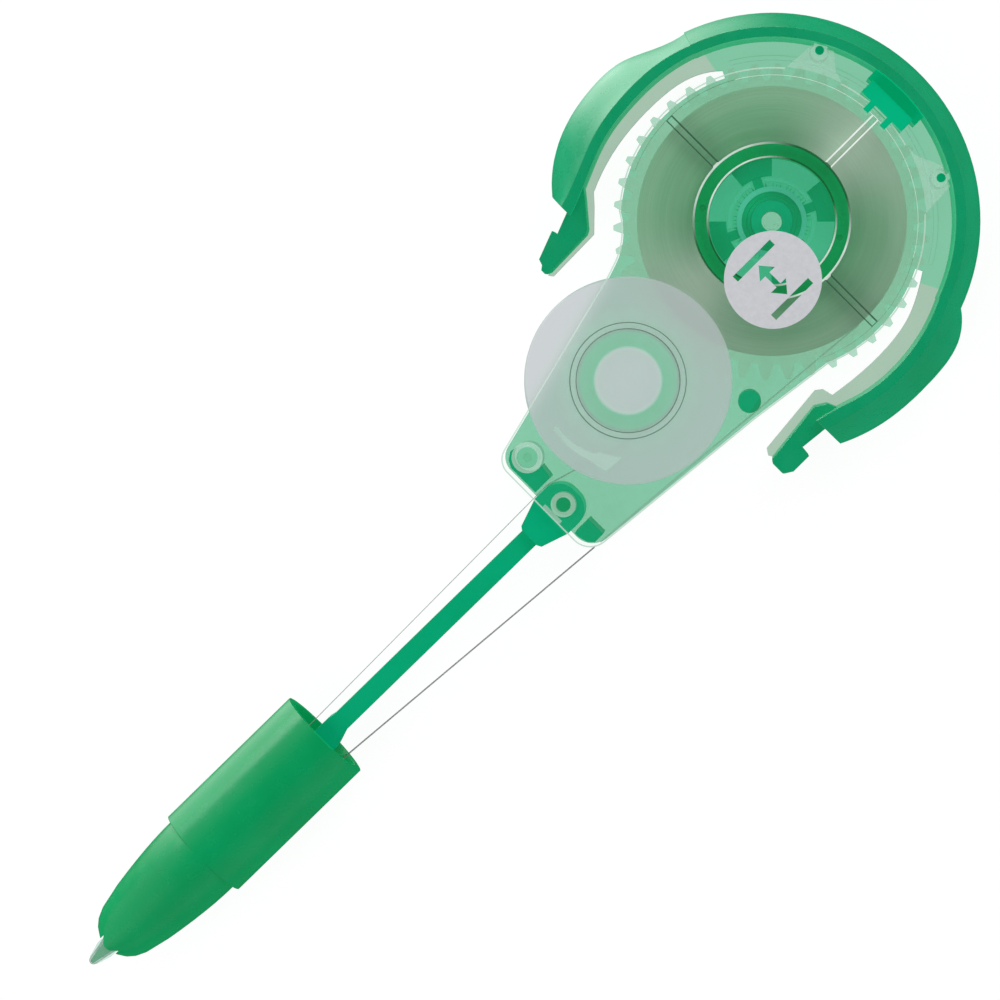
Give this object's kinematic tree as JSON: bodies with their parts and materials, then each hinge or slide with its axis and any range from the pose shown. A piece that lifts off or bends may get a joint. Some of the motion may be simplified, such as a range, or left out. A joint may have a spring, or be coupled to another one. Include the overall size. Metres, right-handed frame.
{
  "type": "correction tape refill cartridge",
  "caption": "Refill cartridge for a pen-shaped correction tape roller: geared reels in a sprung C-rim case, with a swinging arm, nose and tape tip.",
  "frame": {"origin": "supply reel axis, on the flat back of the rear case's plate, which the cartridge rests on", "axes": "+X from the supply reel towards the applicator tip, +Z out through the clear cover, +Y towards the side the full tape leaves the roll"},
  "size_m": [0.1179, 0.0433, 0.012],
  "materials": {
    "case_green": "translucent, moulded gloss",
    "clear": "clear, moulded gloss",
    "badge": "matt coated label",
    "gear_pale": "translucent satin",
    "core_green": "deep green gloss",
    "washer_pale": "satin",
    "roll": "fine wound tape edges",
    "take_up_green": "satin",
    "frosted": "frosted",
    "backing": "thin clear backing",
    "coated_tape": "backing with white film",
    "arm_green": "satin",
    "nose_green": "gloss",
    "blade_green": "satin"
  },
  "bodies": {
    "case": {"rear_case": "case_green", "front_cover": "clear", "width_badge": "badge", "tape_feed_inner": "coated_tape", "tape_return_inner": "backing"},
    "supply_drive": {"supply_gear": "gear_pale", "clutch_star": "core_green", "clutch_washer": "washer_pale"},
    "supply_spool": {"supply_core": "core_green", "tape_roll": "roll"},
    "take_up_reel": {"take_up_gear": "take_up_green", "take_up_disc": "frosted", "take_up_wrap": "backing"},
    "tip_arm": {"arm": "arm_green", "nose_cone": "nose_green", "tip_carrier": "clear", "tip_blade": "blade_green", "tape_feed_run": "coated_tape", "tape_tip_loop": "coated_tape", "tape_return_run": "backing"}
  },
  "joints": [
    {"name": "supply_gear_spin", "type": "hinge", "parent": "case", "child": "supply_drive", "pos_m": [0, 0, 0], "axis": [0, 0, 1], "continuous": true},
    {"name": "spool_clutch_slip", "type": "hinge", "parent": "supply_drive", "child": "supply_spool", "pos_m": [0, 0, 0], "axis": [0, 0, 1], "continuous": true},
    {"name": "take_up_spin", "type": "hinge", "parent": "case", "child": "take_up_reel", "pos_m": [0.02062, 0.00109, 0], "axis": [0, 0, 1], "continuous": true},
    {"name": "arm_swing", "type": "hinge", "parent": "case", "child": "tip_arm", "pos_m": [0.03343, 0.00514, 0], "axis": [0, 0, 1], "range_deg": [-4, 4]}
  ],
  "couplings": [
    {"joint": "take_up_spin", "follows": "supply_gear_spin", "ratio": -2.4706}
  ]
}
